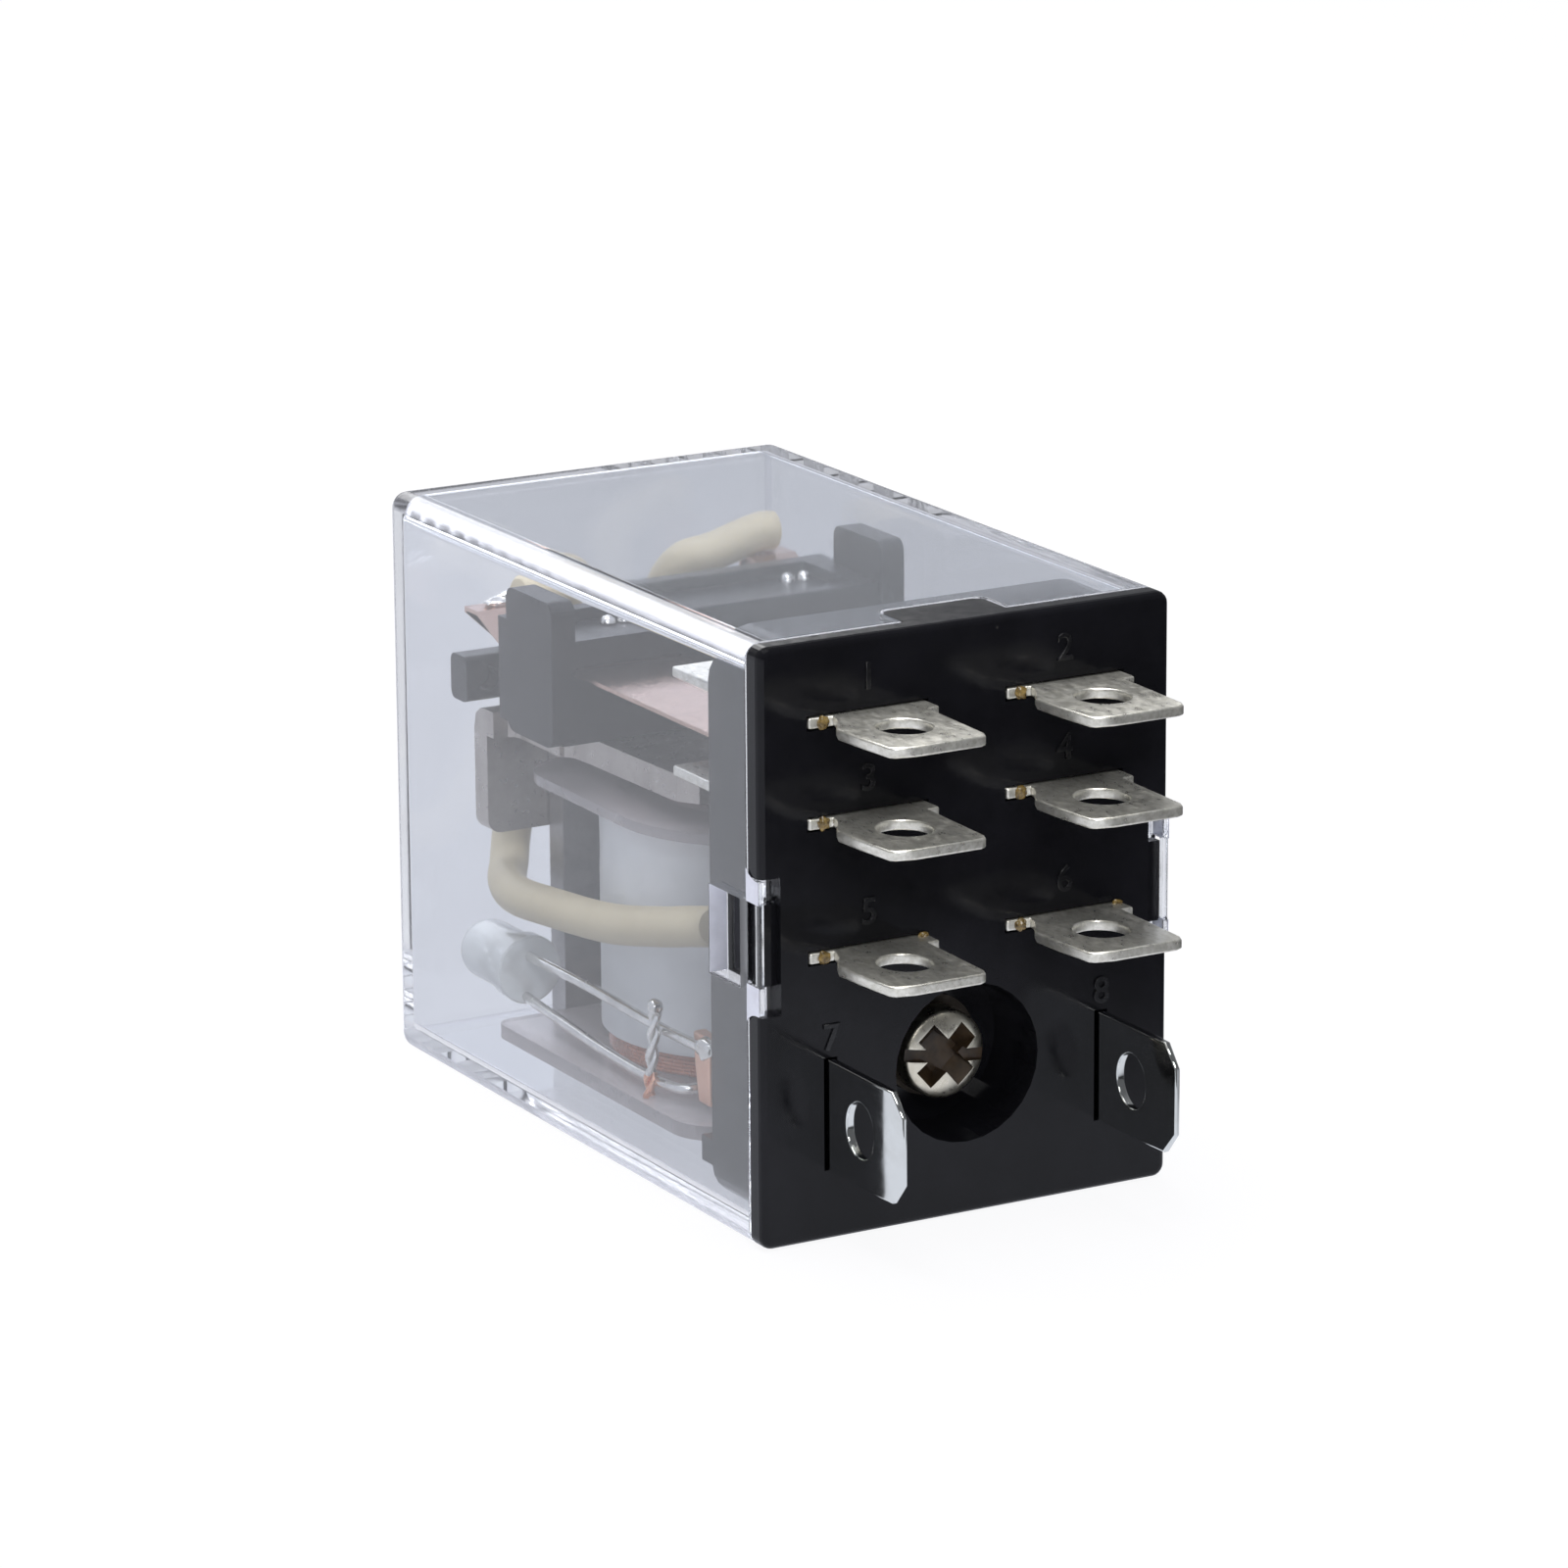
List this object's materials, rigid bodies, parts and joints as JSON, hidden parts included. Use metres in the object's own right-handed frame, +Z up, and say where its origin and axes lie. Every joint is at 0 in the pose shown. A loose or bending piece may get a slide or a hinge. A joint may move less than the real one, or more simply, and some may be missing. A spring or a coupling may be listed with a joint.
{
  "type": "plug in relay",
  "caption": "Rectangular plug-in relay with a clear dust cover, a black base with flat pierced blades, and a sprung armature that works changeover contacts.",
  "frame": {"origin": "middle of the base's seat face, the flat front face that the blades stand out of", "axes": "-Y the way the blades point, +Y towards the closed end of the cover, +Z up with the relay lying on its narrow long side, +X to the right"},
  "size_m": [0.0216, 0.0429, 0.028],
  "materials": {
    "black_moulding": "black moulded thermoplastic, satin gloss",
    "clear_cover": "clear polycarbonate with a faint blue-grey tint",
    "steel": "soft magnetic steel plate, thinly plated",
    "natural_nylon": "natural translucent nylon",
    "enamelled_copper": "enamelled copper wire",
    "white_tape": "white polyester tape",
    "nickel_plate": "nickel plating, slightly dulled",
    "copper_alloy": "copper alloy spring strip, pinkish",
    "silver_contact": "silver alloy contact face",
    "beige_sleeve": "beige insulating sleeve",
    "lamp_resin": "water-clear lamp resin",
    "tinned_wire": "tinned wire",
    "resistor_coat": "tan resistor coating"
  },
  "bodies": {
    "housing": {"base": "black_moulding", "dust_cover": "clear_cover", "nc_terminal_1": "nickel_plate", "nc_terminal_2": "nickel_plate", "no_terminal_3": "nickel_plate", "no_terminal_4": "nickel_plate", "com_terminal_5": "nickel_plate", "com_terminal_6": "nickel_plate", "coil_terminal_7": "nickel_plate", "coil_terminal_8": "nickel_plate", "nc_contact_1": "silver_contact", "nc_contact_2": "silver_contact", "no_contact_3": "silver_contact", "no_contact_4": "silver_contact", "yoke": "steel", "yoke_screw": "nickel_plate", "lock_washer": "nickel_plate", "core": "steel", "bobbin": "natural_nylon", "winding": "enamelled_copper", "coil_tape": "white_tape", "coil_tail_start": "tinned_wire", "coil_tail_finish": "tinned_wire", "led_lamp": "lamp_resin", "led_wire_upper": "tinned_wire", "led_wire_lower": "tinned_wire", "resistor": "resistor_coat", "flex_lead_left": "beige_sleeve", "flex_lead_right": "beige_sleeve", "return_spring": "nickel_plate"},
    "moving_armature": {"armature": "steel", "contact_card": "black_moulding", "leaf_spring_left": "copper_alloy", "leaf_spring_right": "copper_alloy", "moving_contact_left": "silver_contact", "moving_contact_right": "silver_contact"}
  },
  "joints": [
    {"name": "armature_hinge", "type": "hinge", "parent": "housing", "child": "moving_armature", "pos_m": [0, 0.0299, 0.003], "axis": [1, 0, 0], "range_deg": [0, 2.4], "stiffness_Nm_per_rad": 0.02, "springref_deg": -11.46, "deforming": ["return_spring", "flex_lead_left", "flex_lead_right"]}
  ]
}
